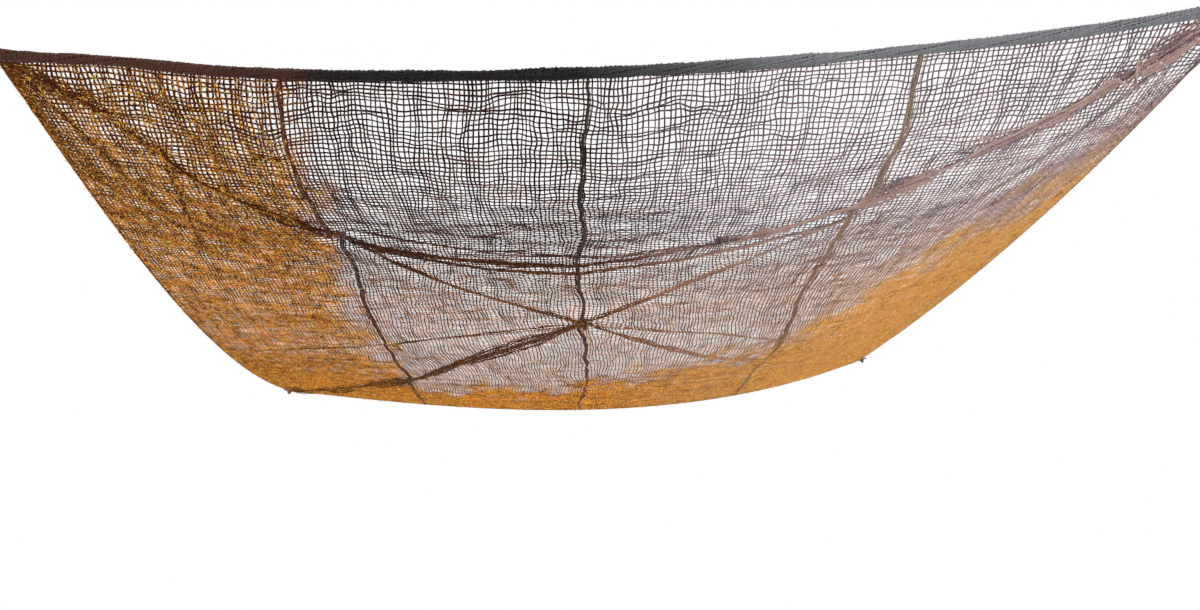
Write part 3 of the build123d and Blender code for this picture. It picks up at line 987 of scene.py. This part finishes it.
def build_eyes():
    """Each corner's eye: laid rope round the thimble, its neck, and the twine seizing that closes it."""
    rope = cord_material("eye_rope", ROPE_DARK, ROPE_LIGHT, 0.006, 1)
    twine = cord_material("seizing_twine", linear(30, 22, 18), linear(62, 44, 32), 0.003, 1)
    for number, (name, reach, size) in enumerate(CORNER_FITTINGS):
        corner, outward = corner_of(name, reach)
        pin = unit(np.cross((0, 0, 1), outward))
        upward = np.cross(pin, outward)
        eye = EYE_RADIUS * size
        strand = EYE_STRAND * EYE_ROPE_RADIUS * size
        lay = 2 * pi * eye / EYE_TURNS
        turn = np.linspace(0, 2 * pi, 97)
        out = outward_at(turn, outward, upward)
        centre = corner + (THROAT * size + eye) * outward
        round_eye = strands(centre + eye * out, out, turn * eye, strand, strand, 3, lay, seed=number)
        along = np.linspace(0, THROAT * size, 25)
        neck = corner + along[:, None] * outward
        up_neck = strands(neck, np.tile(upward, (25, 1)), along, strand, strand, 3, lay, seed=9 + number)
        pile = Pile()
        for laid in (round_eye, up_neck):
            pile.add(tubes(*laid, EYE_SIDES), ochre=0, bleach=0)
        on_net(pile.build("rope_eye_" + name + "_laid", rope), "rope_eye_" + name)

        wall, length = SEIZING_WALL * size, SEIZING_LENGTH * size
        turns = round(length / wall)
        turn = np.linspace(0, 2 * pi * turns, 24 * turns + 1)
        radius = EYE_ROPE_RADIUS * size + wall / 2
        middle = (THROAT - EYE_ROPE_RADIUS) * size / 2
        along = middle + (length - wall) * (turn / turn[-1] - 0.5)
        out = outward_at(turn, pin, upward)
        line = corner + along[:, None] * outward + radius * out
        radii = TWINE_FILL * wall * (1 + 0.05 * rng.normal(0, 1, (1, len(turn))))
        pile = Pile()
        pile.add(tubes(line[None], out[None], radii, TWINE_SIDES), ochre=0, bleach=0)
        on_net(pile.build("seizing_" + name + "_wound", twine), "seizing_" + name)


def build_fittings():
    node_material("ring_", steel_material("ring_steel", linear(150, 150, 148), linear(96, 97, 98)))
    node_material("thimble_", steel_material("thimble_steel", linear(140, 140, 138), linear(84, 85, 86)))
    build_eyes()


# ---------------- the studio

# The camera: its lens in mm, its place from the middle of the near corners, and how it is turned, in degrees
LENS = 26.0
CAMERA_PLACE = (-0.022, -1.380, -1.275)
CAMERA_PAN = -1.79
CAMERA_TILT = 27.02
CAMERA_ROLL = 0.64

# The floor lies this far below the near left corner, and reaches this far each way
FLOOR_DROP = 2.6
FLOOR_REACH = 12.0

# The lamps: name, place, energy and size; and the Y and Z of the point they are aimed at
LAMPS = (("key", (0.2, 3.4, 2.6), 60, 2.5), ("fill", (2.6, -2.5, -1.1), 25, 2.0))
LAMP_AIM = (0.8, -0.2)


def build_camera():
    camera_data = bpy.data.cameras.new("camera")
    camera_data.sensor_fit = "HORIZONTAL"
    camera_data.sensor_width = 36.0
    camera_data.lens = LENS
    camera = bpy.data.objects.new("camera", camera_data)
    bpy.context.scene.collection.objects.link(camera)
    across, behind, below = CAMERA_PLACE
    place = Vector((MIDDLE + across, NEAR_LEFT[1] + behind, NEAR_LEFT[2] + below))
    turn = Matrix.Rotation(radians(CAMERA_PAN), 4, "Z") @ Matrix.Rotation(radians(CAMERA_TILT), 4, "X")
    turn = turn @ Matrix.Rotation(radians(CAMERA_ROLL), 4, "Y") @ Matrix.Rotation(radians(90), 4, "X")
    camera.matrix_world = Matrix.Translation(place) @ turn
    camera_data.clip_end = 100
    bpy.context.scene.camera = camera


def build_studio():
    scene = bpy.context.scene
    scene.view_settings.view_transform = "Standard"
    world = bpy.data.worlds.new("studio")
    world.use_nodes = True
    background = world.node_tree.nodes["Background"]
    background.inputs["Color"].default_value = (1, 1, 1, 1)
    background.inputs["Strength"].default_value = 1.0
    scene.world = world

    mesh = bpy.data.meshes.new("floor")
    height = NEAR_LEFT[2] - FLOOR_DROP
    corners = [(x * FLOOR_REACH, y * FLOOR_REACH, height) for x, y in ((-1, -1), (1, -1), (1, 1), (-1, 1))]
    mesh.from_pydata(corners, [], [(0, 1, 2, 3)])
    floor = bpy.data.objects.new("floor", mesh)
    scene.collection.objects.link(floor)
    shader = Shader("floor_paint", roughness=0.8)
    shade = shader.mix(shader.noise(3.0), (0.80, 0.80, 0.79, 1), (0.84, 0.84, 0.83, 1))
    mesh.materials.append(shader.finish(shade))

    for name, place, energy, size in LAMPS:
        light = bpy.data.lights.new(name, "AREA")
        light.energy, light.size = energy, size
        lamp = bpy.data.objects.new(name, light)
        lamp.location = place
        aim = Vector((MIDDLE, *LAMP_AIM)) - Vector(place)
        lamp.rotation_euler = aim.to_track_quat("-Z", "Y").to_euler()
        scene.collection.objects.link(lamp)


build_camera()
build_studio()
build_netting()
build_creases()
build_selvedges()
build_gathers()
build_lines()
build_hem()
build_fittings()
